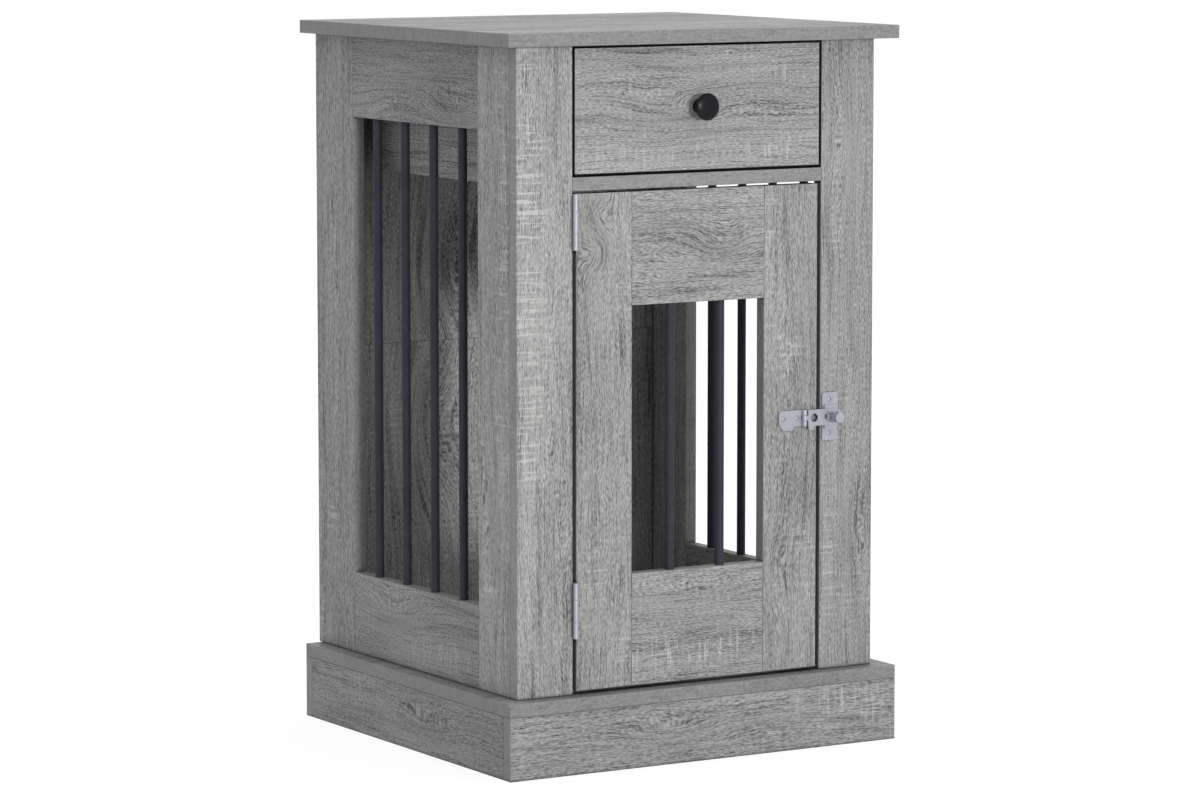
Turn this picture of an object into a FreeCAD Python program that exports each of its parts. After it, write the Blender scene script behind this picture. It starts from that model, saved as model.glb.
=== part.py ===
import FreeCAD
import Part
import os
import re
import Sketcher

# A small dog crate that doubles as an end table: a barred cage with a door, a drawer above it,
# and a plinth below.  Millimetres; X to the right, Y to the back, Z up.  The origin is on the
# floor, under the middle of the table top.

Vector = FreeCAD.Vector
QUARTER = 1.5707963267948966
LEAST_CUT = 0.01
SAME_LENGTH = 0.01

# Driving dimensions: name, value in millimetres (or degrees, or a count), meaning.
SIZES = [
    ("TopWidth", 420, "table top, side to side"),
    ("TopDepth", 401, "table top, front to back"),
    ("TotalHeight", 674.5, "floor to the upper face of the top"),
    ("Board", 12.4, "thickness of every board"),
    ("EdgeBreak", 0.4, "small bevel along every board edge"),
    ("SkirtHeight", 58.4, "height of the plinth boards"),
    ("SideOverhang", 17, "top and base beyond the tower's sides"),
    ("FrontOverhang", 16.8, "top and base beyond the tower's front"),
    ("BaseInset", 4.5, "base in front of the tower's back"),
    ("CornerBlock", 34, "legs of the plinth's triangular corner blocks"),
    ("CornerBlockHeight", 46, "height of those blocks"),
    ("PostWidth", 58.5, "front posts beside the door"),
    ("FrontStile", 57.6, "front upright of a side panel"),
    ("RearStile", 74.3, "rear upright of a side panel"),
    ("SideTopRail", 77.5, "upper rail of a side panel"),
    ("SideBottomRail", 77.5, "lower rail of a side panel"),
    ("LowerBackHeight", 289, "height of the lower back board"),
    ("RodDiameter", 8.4, "cage bars"),
    ("RodPitch", 54.3, "distance between bars"),
    ("RodSeat", 10, "depth of a bar's hole in a rail"),
    ("RodSlack", 0.1, "radial slack of a bar in its hole"),
    ("SideRods", 4, "bars in a side window"),
    ("DoorRods", 2, "bars in the door window"),
    ("DrawerOpening", 118.9, "height of the drawer opening"),
    ("DrawerGap", 2.7, "gap round the drawer front"),
    ("BearerLength", 331, "boards beside the drawer, front to back"),
    ("DoorSideGap", 4, "gap between the door and a post"),
    ("DoorTopGap", 2.4, "gap above the door"),
    ("DoorBottomGap", 3, "gap below the door"),
    ("DoorStile", 58.9, "uprights of the door"),
    ("DoorRail", 103.9, "rails of the door"),
    ("HingeLength", 51, "hinge, end to end"),
    ("HingeLeaf", 1.2, "thickness of a hinge leaf"),
    ("HingeLeafReach", 13.4, "hinge leaf, from the pin to its inner edge"),
    ("HingeKnuckle", 2.5, "outer radius of the hinge knuckles"),
    ("HingePin", 1, "radius of the hinge pin"),
    ("PinSlack", 0.05, "radial slack of a pin or shaft that turns"),
    ("HingeProud", 2.2, "hinge pin in front of the tower's front"),
    ("HingeEndKnuckle", 15.3, "length of a hinge's end knuckles"),
    ("KnuckleGap", 0.3, "gap between two knuckles"),
    ("LowerHingeRise", 49, "lower hinge above the door's bottom edge"),
    ("LatchHeight", 310, "middle of the latch above the floor"),
    ("LatchMetal", 1.2, "thickness of the latch's sheet metal"),
    ("HaspLeafLeft", 88, "left edge of the fixed hasp leaf, from the middle"),
    ("HaspPivot", 115.5, "hasp pin, from the middle"),
    ("HaspHalfHeight", 7.6, "half the height of the hasp"),
    ("HaspLugStart", 4.6, "near end of the leaf's lug, from its left edge"),
    ("HaspLugEnd", 15, "far end of the leaf's lug, from its left edge"),
    ("HaspCorner", 2, "cut corners of the hasp"),
    ("HaspLug", 11, "lugs under the hasp, below its middle line"),
    ("HaspKnuckle", 2.4, "outer radius of the hasp knuckles"),
    ("HaspPinProud", 2.7, "hasp pin in front of the door's face"),
    ("HaspSlotStart", 20.6, "near end of the strap's slot, from the pin"),
    ("HaspSlotEnd", 38, "far end of the strap's slot, from the pin"),
    ("HaspSlotHalf", 5.2, "half the height of the slot"),
    ("HaspStrapLug", 9.5, "far end of the strap's finger lug, from the pin"),
    ("HaspEye", 4, "radius of the round eye in the strap"),
    ("HaspEyeReach", 9.3, "middle of that eye, from the pin"),
    ("StapleCentre", 144.7, "middle of the staple plate, from the middle"),
    ("StapleWidth", 17, "staple plate, side to side"),
    ("StapleHeight", 45, "staple plate, top to bottom"),
    ("StapleCorner", 1.6, "corner radius of the staple plate"),
    ("StapleBossWidth", 14.4, "raised middle of the staple plate"),
    ("StapleBossHeight", 22, "height of that raised middle"),
    ("StapleBossRise", 3.4, "its rise above the post's face"),
    ("TurnShaft", 2.5, "radius of the turn knob's shaft"),
    ("TurnRivet", 3.8, "radius of the riveted end behind the plate"),
    ("TurnKnob", 4.8, "radius of the turn knob"),
    ("TurnKnobLength", 6.5, "length of the turn knob"),
    ("TurnProjection", 19, "turn knob's end in front of the post's face"),
    ("RivetHead", 0.8, "thickness of the riveted end"),
    ("RivetGap", 0.1, "slack behind the riveted end"),
    ("TongueGap", 0.4, "gap between the strap and the tongue"),
    ("TongueHalfLength", 6.8, "half the length of its locking tongue"),
    ("TongueHalfHeight", 2.2, "half the height of that tongue"),
    ("TongueDepth", 2.2, "thickness of that tongue"),
    ("RunnerSpace", 12.7, "space for a runner beside the drawer box"),
    ("RunnerMetal", 1, "thickness of the runners' sheet metal"),
    ("RunnerLength", 300, "length of a runner"),
    ("RunnerSetback", 1, "cabinet runner behind the drawer front"),
    ("FlangeGap", 1.8, "gap beyond the far edge of a runner's flange"),
    ("FootReach", 2, "drawer runner's foot, short of the drawer side's inner face"),
    ("ChannelHeight", 18, "height of the cabinet runner"),
    ("ChannelRise", 4.5, "cabinet runner above the shelf"),
    ("RollerRadius", 7.5, "radius of the runner wheels"),
    ("RollerWidth", 6, "width of the runner wheels"),
    ("RollerInset", 2.2, "wheels beside a drawer runner's web"),
    ("RollerSlack", 0.5, "gap between a wheel and what rolls on it"),
    ("AxleLength", 8, "length of the wheels' axles"),
    ("AxleRadius", 2, "radius of the wheels' axles"),
    ("FrontRollerInset", 10, "front wheels behind the drawer front"),
    ("BoxHeight", 85, "height of the drawer box"),
    ("BoxRise", 11.5, "drawer box above the shelf"),
    ("BoxLength", 311, "drawer box behind the drawer front"),
    ("BottomPanel", 3, "thickness of the drawer's bottom panel"),
    ("BottomRise", 8, "that panel above the lower edge of the box"),
    ("GrooveDepth", 4, "grooves that hold the panel"),
    ("GrooveSlack", 0.1, "slack of the panel in its grooves"),
    ("KnobLift", 1.2, "drawer knob above the middle of the drawer front"),
    ("KnobProjection", 18, "drawer knob, foot to face"),
    ("KnobNeck", 6, "radius of the knob's neck"),
    ("KnobHead", 12.5, "radius of its head"),
    ("KnobHeadDepth", 5, "thickness of its head"),
]

# Places that several pieces share, as formulas of the driving dimensions.
TOWER_HALF = "(TopWidth / 2 - SideOverhang)"
PANEL_INNER = "(TopWidth / 2 - SideOverhang - Board)"
BASE_FRONT = "(-TopDepth / 2)"
BASE_REAR = "(TopDepth / 2 - BaseInset)"
BASE_DEPTH = "(TopDepth - BaseInset)"
FRONT = "(FrontOverhang - TopDepth / 2)"
FRAME_REAR = "(FrontOverhang - TopDepth / 2 + Board)"
REAR = "(TopDepth / 2)"
FLOOR = "(SkirtHeight + Board)"
CEILING = "(TotalHeight - Board)"
TOWER_HEIGHT = "(TotalHeight - SkirtHeight - 2 * Board)"
OPENING_HALF = f"({TOWER_HALF} - PostWidth)"
WINDOW_FRONT = f"({FRAME_REAR} + FrontStile)"
WINDOW_LENGTH = f"({REAR} - RearStile - {WINDOW_FRONT})"
SIDE_WINDOW_HEIGHT = f"({TOWER_HEIGHT} - SideTopRail - SideBottomRail)"
SHELF_TOP = f"({CEILING} - DrawerOpening)"
SHELF_BOTTOM = f"({SHELF_TOP} - Board)"
DOOR_HALF = f"({OPENING_HALF} - DoorSideGap)"
DOOR_FOOT = f"({FLOOR} + DoorBottomGap)"
DOOR_TOP = f"({SHELF_BOTTOM} - DoorTopGap)"
DOOR_HEIGHT = f"({DOOR_TOP} - {DOOR_FOOT})"
DOOR_WINDOW_HALF = f"({DOOR_HALF} - DoorStile)"
DOOR_WINDOW_FOOT = f"({DOOR_FOOT} + DoorRail)"
DOOR_WINDOW_HEIGHT = f"({DOOR_HEIGHT} - 2 * DoorRail)"
HINGE_X = f"(-({OPENING_HALF}) + DoorSideGap / 2)"
HINGE_Y = f"({FRONT} - HingeProud)"
HINGE_FEET = {
    "lower": f"({DOOR_FOOT} + LowerHingeRise)",
    "upper": f"({DOOR_TOP} - HingeLength)",
}
HASP_Y = f"({FRONT} - HaspPinProud)"
BOX_HALF = f"({OPENING_HALF} - RunnerSpace)"
BOX_FOOT = f"({SHELF_TOP} + BoxRise)"
BOX_REAR = f"({FRAME_REAR} + BoxLength)"
PANEL_FOOT = f"({BOX_FOOT} + BottomRise)"
GROOVE_HEIGHT = "(BottomPanel + 2 * GrooveSlack)"
CHANNEL_FOOT = f"({SHELF_TOP} + ChannelRise)"
FRONT_ROLLER_Y = f"({FRAME_REAR} + FrontRollerInset)"
REAR_ROLLER_Y = f"({FRAME_REAR} + RunnerLength - FrontRollerInset)"
FLANGE_RISE = "(ChannelHeight + 2 * RollerSlack)"
FRONT_ROLLER_RISE = f"({FLANGE_RISE} - RollerSlack - RollerRadius)"
REAR_ROLLER_RISE = "(ChannelHeight / 2)"
KNOB_HEIGHT = f"(({SHELF_TOP} + {CEILING}) / 2 + KnobLift)"

SIDES = {"left": -1, "right": 1}

doc = FreeCAD.newDocument("DogCrateEndTable")
sheet = doc.addObject("Spreadsheet::Sheet", "Sizes")
pieces = []


def fill_sheet():
    """Write each driving dimension in a row of its own: name, value, meaning."""
    for row, (name, value, meaning) in enumerate(SIZES, start=1):
        sheet.set(f"A{row}", name)
        sheet.set(f"B{row}", str(value))
        sheet.setAlias(f"B{row}", name)
        sheet.set(f"C{row}", meaning)
    doc.recompute()


def formula(text):
    """Turn a formula of dimension names into an expression on the sheet."""
    return re.sub(r"\b([A-Z][A-Za-z]+)", r"Sizes.\1", str(text))


def number(text):
    """The value of a formula, for shapes that are made directly."""
    probe = doc.addObject("App::FeaturePython", "Probe")
    probe.addProperty("App::PropertyFloat", "Value")
    probe.setExpression("Value", formula(text))
    probe.recompute()
    value = probe.Value
    doc.removeObject(probe.Name)
    return value


def bind(item, prop, text):
    item.setExpression(prop, formula(text))


# ---------------------------------------------------------------- building blocks


def new_body(name, x="0", y="0", z="0"):
    """An empty body whose own origin stands at the given place."""
    body = doc.addObject("PartDesign::Body", name)
    body.Label = name
    body.AllowCompound = True
    for axis, place in zip("xyz", (x, y, z)):
        bind(body, f"Placement.Base.{axis}", place)
    pieces.append(body)
    return body


def new_sketch(body, plane, height="0"):
    """A sketch on one of the body's origin planes, lifted off it by a height."""
    sketch = body.newObject("Sketcher::SketchObject", f"{body.Name}_sketch")
    planes = {item.Role: item for item in body.Origin.OriginFeatures}
    sketch.AttachmentSupport = [(planes[plane], "")]
    sketch.MapMode = "FlatFace"
    bind(sketch, "AttachmentOffset.Base.z", height)
    return sketch


def draw_polygon(sketch, corners):
    """A closed outline through corners given as pairs of formulas."""
    first = sketch.GeometryCount
    count = len(corners)
    points = [Vector(number(x), number(y), 0) for x, y in corners]
    for index, start in enumerate(points):
        sketch.addGeometry(Part.LineSegment(start, points[(index + 1) % count]), False)
    for index in range(count):
        edge = first + index
        following = first + (index + 1) % count
        sketch.addConstraint(Sketcher.Constraint("Coincident", edge, 2, following, 1))
    for index, (x, y) in enumerate(corners):
        place_point(sketch, first + index, 1, x, y)


def place_point(sketch, edge, end, x, y):
    """Fix a point of a sketch at x and y from its origin."""
    for kind, size in (("DistanceX", x), ("DistanceY", y)):
        value = number(size)
        index = sketch.addConstraint(Sketcher.Constraint(kind, -1, 1, edge, end, value))
        bind(sketch, f"Constraints[{index}]", size)


def draw_rectangle(sketch, left, low, right, high):
    draw_polygon(sketch, [(left, low), (right, low), (right, high), (left, high)])


def draw_circle(sketch, x, y, radius):
    centre = Vector(number(x), number(y), 0)
    circle = sketch.addGeometry(Part.Circle(centre, Vector(0, 0, 1), number(radius)), False)
    place_point(sketch, circle, 3, x, y)
    index = sketch.addConstraint(Sketcher.Constraint("Radius", circle, number(radius)))
    bind(sketch, f"Constraints[{index}]", radius)


def pad(body, sketch, length, backwards=False):
    feature = body.newObject("PartDesign::Pad", f"{body.Name}_pad")
    feature.Profile = sketch
    bind(feature, "Length", length)
    feature.Reversed = backwards
    sketch.Visibility = False
    doc.recompute()
    return feature


def cut(body, sketch, depth, backwards=False):
    """A pocket, which has to take material away."""
    before = body.Shape.Volume
    feature = body.newObject("PartDesign::Pocket", f"{body.Name}_pocket")
    feature.Profile = sketch
    bind(feature, "Length", depth)
    feature.Reversed = backwards
    doc.recompute()
    if body.Shape.Volume > before - LEAST_CUT:
        raise ValueError(f"a pocket in {body.Label} cuts nothing")
    return feature


def break_edges(body, size="EdgeBreak"):
    """A small bevel along every edge that the body has so far."""
    base = body.Tip
    feature = body.newObject("PartDesign::Chamfer", f"{body.Name}_chamfer")
    feature.Base = (base, [f"Edge{index + 1}" for index in range(len(base.Shape.Edges))])
    bind(feature, "Size", size)
    doc.recompute()
    return feature


def turn(body, outline):
    """Turn a half outline, given as radius and Y, about the body's Y axis."""
    sketch = new_sketch(body, "XY_Plane")
    draw_polygon(sketch, outline)
    feature = body.newObject("PartDesign::Revolution", f"{body.Name}_turned")
    feature.Profile = sketch
    feature.ReferenceAxis = (sketch, ["V_Axis"])
    feature.Angle = 360
    doc.recompute()
    return feature


def round_edges(body, length, radius):
    """Round every edge that has the given length."""
    base = body.Tip
    chosen = [
        f"Edge{index + 1}"
        for index, edge in enumerate(base.Shape.Edges)
        if abs(edge.Length - number(length)) < SAME_LENGTH
    ]
    feature = body.newObject("PartDesign::Fillet", f"{body.Name}_fillet")
    feature.Base = (base, chosen)
    bind(feature, "Radius", radius)
    doc.recompute()
    return feature


def board(name, size, corner, broken=True):
    """A rectangular board from its lowest corner, with its edges broken where they show."""
    body = new_body(name, *corner)
    sketch = new_sketch(body, "XY_Plane")
    draw_rectangle(sketch, "0", "0", size[0], size[1])
    pad(body, sketch, size[2])
    if broken:
        break_edges(body)
    return body


def drill(body, plane, height, places, radius, depth, backwards=False):
    """Round holes at places on a plane of the body, to a depth."""
    sketch = new_sketch(body, plane, height)
    for x, y in places:
        draw_circle(sketch, x, y, radius)
    cut(body, sketch, depth, backwards)


def rod_offsets(count):
    """Places of the bars of a window, from its middle."""
    steps = int(number(count))
    return [f"({index} - ({count} - 1) / 2) * RodPitch" for index in range(steps)]


# ---------------------------------------------------------------- plinth, top and tower


def make_top_and_plinth():
    left = "-TopWidth / 2"
    right = "TopWidth / 2 - Board"
    slab = ("TopWidth", "TopDepth", "Board")
    base_slab = ("TopWidth", BASE_DEPTH, "Board")
    board("top_board", slab, (left, BASE_FRONT, CEILING))
    board("base_board", base_slab, (left, BASE_FRONT, "SkirtHeight"))
    long_skirt = ("TopWidth", "Board", "SkirtHeight")
    board("front_skirt", long_skirt, (left, BASE_FRONT, "0"))
    board("rear_skirt", long_skirt, (left, f"{BASE_REAR} - Board", "0"))
    short_skirt = ("Board", f"{BASE_DEPTH} - 2 * Board", "SkirtHeight")
    skirt_front = f"{BASE_FRONT} + Board"
    board("left_skirt", short_skirt, (left, skirt_front, "0"))
    board("right_skirt", short_skirt, (right, skirt_front, "0"))


def make_corner_blocks():
    """Triangular blocks glued into the four corners of the plinth, under the base."""
    body = new_body("plinth_corner_blocks", z="SkirtHeight - CornerBlockHeight")
    sketch = new_sketch(body, "XY_Plane")
    for side in (-1, 1):
        x = f"{side} * (TopWidth / 2 - Board)"
        inward_x = f"{side} * (TopWidth / 2 - Board - CornerBlock)"
        for corner, inward in ((BASE_FRONT, 1), (BASE_REAR, -1)):
            y = f"{corner} + {inward} * Board"
            inward_y = f"{corner} + {inward} * (Board + CornerBlock)"
            draw_polygon(sketch, [(x, y), (inward_x, y), (x, inward_y)])
    pad(body, sketch, "CornerBlockHeight")


def make_front_posts():
    for side, sign in SIDES.items():
        left = f"-{TOWER_HALF}" if sign < 0 else OPENING_HALF
        size = ("PostWidth", "Board", TOWER_HEIGHT)
        board(f"{side}_front_post", size, (left, FRONT, FLOOR))


def make_side_panel(side, sign):
    """Two uprights, two rails and the bars of one side of the cage."""
    left = f"-{TOWER_HALF}" if sign < 0 else PANEL_INNER
    board(
        f"{side}_front_stile", ("Board", "FrontStile", TOWER_HEIGHT), (left, FRAME_REAR, FLOOR)
    )
    board(
        f"{side}_rear_stile",
        ("Board", "RearStile", TOWER_HEIGHT),
        (left, f"{REAR} - RearStile", FLOOR),
    )
    top_rail = board(
        f"{side}_top_rail",
        ("Board", WINDOW_LENGTH, "SideTopRail"),
        (left, WINDOW_FRONT, f"{CEILING} - SideTopRail"),
    )
    bottom_rail = board(
        f"{side}_bottom_rail",
        ("Board", WINDOW_LENGTH, "SideBottomRail"),
        (left, WINDOW_FRONT, FLOOR),
    )
    middle = f"{WINDOW_LENGTH} / 2"
    places = [("Board / 2", f"{middle} + {offset}") for offset in rod_offsets("SideRods")]
    radius = "RodDiameter / 2 + RodSlack"
    drill(top_rail, "XY_Plane", "0", places, radius, "RodSeat", backwards=True)
    drill(bottom_rail, "XY_Plane", "SideBottomRail", places, radius, "RodSeat")
    rods = new_body(
        f"{side}_side_rods", left, WINDOW_FRONT, f"{FLOOR} + SideBottomRail - RodSeat"
    )
    sketch = new_sketch(rods, "XY_Plane")
    for x, y in places:
        draw_circle(sketch, x, y, "RodDiameter / 2")
    pad(rods, sketch, f"{SIDE_WINDOW_HEIGHT} + 2 * RodSeat")


def make_back_panel():
    width = f"2 * {PANEL_INNER}"
    left = f"-{PANEL_INNER}"
    front = f"{REAR} - Board"
    upper_height = f"{TOWER_HEIGHT} - LowerBackHeight"
    board("lower_back_board", (width, "Board", "LowerBackHeight"), (left, front, FLOOR))
    upper_foot = f"{FLOOR} + LowerBackHeight"
    board("upper_back_board", (width, "Board", upper_height), (left, front, upper_foot))


def make_drawer_compartment():
    """The shelf under the drawer and the two boards that carry its runners."""
    board(
        "drawer_shelf",
        (f"2 * {OPENING_HALF}", "BearerLength + Board", "Board"),
        (f"-{OPENING_HALF}", FRONT, SHELF_BOTTOM),
    )
    for side, sign in SIDES.items():
        left = f"-{OPENING_HALF} - Board" if sign < 0 else OPENING_HALF
        board(
            f"{side}_bearer_board",
            ("Board", "BearerLength", "DrawerOpening + Board"),
            (left, FRAME_REAR, SHELF_BOTTOM),
            broken=False,
        )


# ---------------------------------------------------------------- door


def make_door():
    stile = ("DoorStile", "Board", DOOR_HEIGHT)
    board("door_hinge_stile", stile, (f"-{DOOR_HALF}", FRONT, DOOR_FOOT))
    board("door_latch_stile", stile, (f"{DOOR_HALF} - DoorStile", FRONT, DOOR_FOOT))
    rail = (f"2 * {DOOR_WINDOW_HALF}", "Board", "DoorRail")
    left = f"-{DOOR_WINDOW_HALF}"
    top_rail = board("door_top_rail", rail, (left, FRONT, f"{DOOR_TOP} - DoorRail"))
    bottom_rail = board("door_bottom_rail", rail, (left, FRONT, DOOR_FOOT))
    places = [
        (f"{DOOR_WINDOW_HALF} + {offset}", "Board / 2") for offset in rod_offsets("DoorRods")
    ]
    radius = "RodDiameter / 2 + RodSlack"
    drill(top_rail, "XY_Plane", "0", places, radius, "RodSeat", backwards=True)
    drill(bottom_rail, "XY_Plane", "DoorRail", places, radius, "RodSeat")
    rods = new_body("door_rods", left, FRONT, f"{DOOR_WINDOW_FOOT} - RodSeat")
    sketch = new_sketch(rods, "XY_Plane")
    for x, y in places:
        draw_circle(sketch, x, y, "RodDiameter / 2")
    pad(rods, sketch, f"{DOOR_WINDOW_HEIGHT} + 2 * RodSeat")


# ---------------------------------------------------------------- hinges


def knuckle_bands(position):
    """Heights of the stretches of a hinge that belong to the other leaf."""
    end = "HingeEndKnuckle"
    if position == "frame":
        return [(f"{end} - KnuckleGap / 2", f"HingeLength - {end} + KnuckleGap / 2")]
    return [
        ("0", f"{end} + KnuckleGap / 2"),
        (f"HingeLength - {end} - KnuckleGap / 2", "HingeLength"),
    ]


def make_hinge_leaf(name, foot, position):
    """A flat leaf rolled round the pin; the other leaf's knuckles are cut out of it."""
    sign = -1 if position == "frame" else 1
    body = new_body(name, HINGE_X, HINGE_Y, foot)
    outer = f"{sign} * DoorSideGap / 2"
    inner = f"{sign} * (DoorSideGap / 2 - HingeLeaf)"
    leaf = new_sketch(body, "XY_Plane")
    left, right = (outer, inner) if sign < 0 else (inner, outer)
    draw_rectangle(leaf, left, "0", right, "HingeLeafReach")
    pad(body, leaf, "HingeLength")
    knuckle = new_sketch(body, "XY_Plane")
    draw_circle(knuckle, "0", "0", "HingeKnuckle")
    pad(body, knuckle, "HingeLength")
    clear = "(HingeKnuckle + 2 * KnuckleGap)"
    for low, high in knuckle_bands(position):
        notch = new_sketch(body, "XY_Plane", low)
        draw_rectangle(notch, f"-{clear}", f"-{clear}", clear, clear)
        cut(body, notch, f"{high} - ({low})", backwards=True)
    bore = new_sketch(body, "XY_Plane")
    draw_circle(bore, "0", "0", "HingePin + PinSlack")
    cut(body, bore, "HingeLength", backwards=True)


def make_pin(name, x, y, foot, length, radius):
    body = new_body(name, x, y, foot)
    sketch = new_sketch(body, "XY_Plane")
    draw_circle(sketch, "0", "0", radius)
    pad(body, sketch, length)


def make_hinges():
    for level, foot in HINGE_FEET.items():
        make_hinge_leaf(f"{level}_hinge_frame_leaf", foot, "frame")
        make_hinge_leaf(f"{level}_hinge_door_leaf", foot, "door")
        make_pin(f"{level}_hinge_pin", HINGE_X, HINGE_Y, foot, "HingeLength", "HingePin")


# ---------------------------------------------------------------- latch


def add_hasp_knuckles(body, bands):
    """Knuckles round the hasp's pin at the given heights above its middle line."""
    for low, high in bands:
        sketch = new_sketch(body, "XY_Plane", low)
        draw_circle(sketch, "0", "0", "HaspKnuckle")
        pad(body, sketch, f"{high} - ({low})")
    bore = new_sketch(body, "XY_Plane", "-HaspHalfHeight")
    draw_circle(bore, "0", "0", "HingePin + PinSlack")
    cut(body, bore, "2 * HaspHalfHeight", backwards=True)


def make_hasp_leaf():
    """The fixed leaf on the door, with a lug at its lower outer corner and two knuckles."""
    body = new_body("hasp_leaf", "HaspPivot", HASP_Y, "LatchHeight")
    outline = new_sketch(body, "XZ_Plane", "-HaspPinProud")
    left = "HaspLeafLeft - HaspPivot"
    draw_polygon(
        outline,
        [
            (left, "HaspLug - 2 * HaspHalfHeight"),
            (f"{left} + HaspLugStart", "-HaspLug"),
            (f"{left} + HaspLugEnd", "-HaspLug"),
            (f"{left} + HaspLugEnd + HaspCorner", "-HaspHalfHeight"),
            ("-HaspKnuckle - KnuckleGap", "-HaspHalfHeight"),
            ("-HaspKnuckle - KnuckleGap", "HaspHalfHeight"),
            (f"{left} + HaspCorner", "HaspHalfHeight"),
            (left, "HaspHalfHeight - HaspCorner"),
        ],
    )
    pad(body, outline, "LatchMetal")
    middle = "HaspHalfHeight / 3"
    bands = [("-HaspHalfHeight", f"-{middle}"), (middle, "HaspHalfHeight")]
    for low, high in bands:
        arm = new_sketch(body, "XY_Plane", low)
        back = "HaspPinProud"
        draw_rectangle(arm, "-HaspKnuckle - KnuckleGap", f"{back} - LatchMetal", "0", back)
        pad(body, arm, f"{high} - ({low})")
    add_hasp_knuckles(body, bands)


def make_hasp_strap():
    """The swinging strap: a knuckle, an eye, and a slot that passes over the turn knob."""
    body = new_body("hasp_strap", "HaspPivot", HASP_Y, "LatchHeight")
    back = "HaspKnuckle - LatchMetal"
    end_centre = "HaspSlotEnd - HaspSlotHalf"
    outline = new_sketch(body, "XZ_Plane", back)
    draw_strap_outline(outline, end_centre)
    pad(body, outline, "LatchMetal")
    middle = "(HaspHalfHeight / 3 - KnuckleGap)"
    arm = new_sketch(body, "XY_Plane", f"-{middle}")
    far = "HaspKnuckle + KnuckleGap"
    draw_rectangle(arm, "0", "-HaspKnuckle", far, "LatchMetal - HaspKnuckle")
    pad(body, arm, f"2 * {middle}")
    add_hasp_knuckles(body, [(f"-{middle}", middle)])
    eye = new_sketch(body, "XZ_Plane", back)
    draw_circle(eye, "HaspEyeReach", "0", "HaspEye")
    cut(body, eye, "LatchMetal", backwards=True)
    slot = new_sketch(body, "XZ_Plane", back)
    draw_slot(slot, "HaspSlotStart + HaspSlotHalf", end_centre, "HaspSlotHalf")
    cut(body, slot, "LatchMetal", backwards=True)


def draw_half_circle(sketch, centre, radius, start):
    """Half a circle about a point on the sketch's X axis, from a start angle."""
    circle = Part.Circle(Vector(number(centre), 0, 0), Vector(0, 0, 1), number(radius))
    arc = sketch.addGeometry(Part.ArcOfCircle(circle, start, start + 2 * QUARTER), False)
    place_point(sketch, arc, 3, centre, "0")
    return arc


def draw_line(sketch, start, end):
    points = [Vector(number(x), number(y), 0) for x, y in (start, end)]
    return sketch.addGeometry(Part.LineSegment(*points), False)


def join_smoothly(sketch, chain):
    """Join each edge's end to the next one's start, tangent to it."""
    for first, second in chain:
        sketch.addConstraint(Sketcher.Constraint("Tangent", first, 2, second, 1))


def size_arc(sketch, arc, radius):
    index = sketch.addConstraint(Sketcher.Constraint("Radius", arc, number(radius)))
    bind(sketch, f"Constraints[{index}]", radius)


def draw_slot(sketch, start, end, radius):
    """A slot with round ends along the sketch's X axis."""
    low = draw_line(sketch, (start, f"-{radius}"), (end, f"-{radius}"))
    high = draw_line(sketch, (end, radius), (start, radius))
    end_arc = draw_half_circle(sketch, end, radius, -QUARTER)
    start_arc = draw_half_circle(sketch, start, radius, QUARTER)
    join_smoothly(sketch, [(low, end_arc), (end_arc, high), (high, start_arc), (start_arc, low)])
    sketch.addConstraint(Sketcher.Constraint("Equal", start_arc, end_arc))
    size_arc(sketch, end_arc, radius)


def draw_strap_outline(sketch, end_centre):
    """Straight edges with a finger lug below, and a round far end."""
    near = "HaspKnuckle + KnuckleGap"
    corners = [
        (near, "HaspHalfHeight"),
        (near, "-HaspHalfHeight"),
        (f"{near} + HaspCorner / 2", "-HaspLug"),
        ("HaspStrapLug - HaspCorner / 2", "-HaspLug"),
        ("HaspStrapLug", "-HaspHalfHeight"),
        (end_centre, "-HaspHalfHeight"),
    ]
    edges = [draw_line(sketch, *pair) for pair in zip(corners[:-1], corners[1:])]
    arc = draw_half_circle(sketch, end_centre, "HaspHalfHeight", -QUARTER)
    top = draw_line(sketch, (end_centre, "HaspHalfHeight"), corners[0])
    for first, second in zip(edges[:-1], edges[1:]):
        sketch.addConstraint(Sketcher.Constraint("Coincident", first, 2, second, 1))
    sketch.addConstraint(Sketcher.Constraint("Coincident", top, 2, edges[0], 1))
    for edge, (x, y) in zip(edges, corners):
        place_point(sketch, edge, 1, x, y)
    join_smoothly(sketch, [(edges[-1], arc), (arc, top)])


def make_staple_plate():
    """A plate with a pressed-out middle that holds the turn knob's shaft."""
    body = new_body("staple_plate", "StapleCentre", FRONT, "LatchHeight")
    plate = new_sketch(body, "XZ_Plane")
    draw_rectangle(
        plate, "-StapleWidth / 2", "-StapleHeight / 2", "StapleWidth / 2", "StapleHeight / 2"
    )
    pad(body, plate, "LatchMetal")
    boss = new_sketch(body, "XZ_Plane")
    draw_rectangle(
        boss,
        "-StapleBossWidth / 2",
        "-StapleBossHeight / 2",
        "StapleBossWidth / 2",
        "StapleBossHeight / 2",
    )
    pad(body, boss, "StapleBossRise")
    round_edges(body, "LatchMetal", "StapleCorner")
    hollow = new_sketch(body, "XZ_Plane")
    draw_rectangle(
        hollow,
        "LatchMetal - StapleBossWidth / 2",
        "LatchMetal - StapleBossHeight / 2",
        "StapleBossWidth / 2 - LatchMetal",
        "StapleBossHeight / 2 - LatchMetal",
    )
    cut(body, hollow, "StapleBossRise - LatchMetal", backwards=True)
    shaft_hole = new_sketch(body, "XZ_Plane")
    draw_circle(shaft_hole, "0", "0", "TurnShaft + PinSlack")
    cut(body, shaft_hole, "StapleBossRise", backwards=True)


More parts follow.
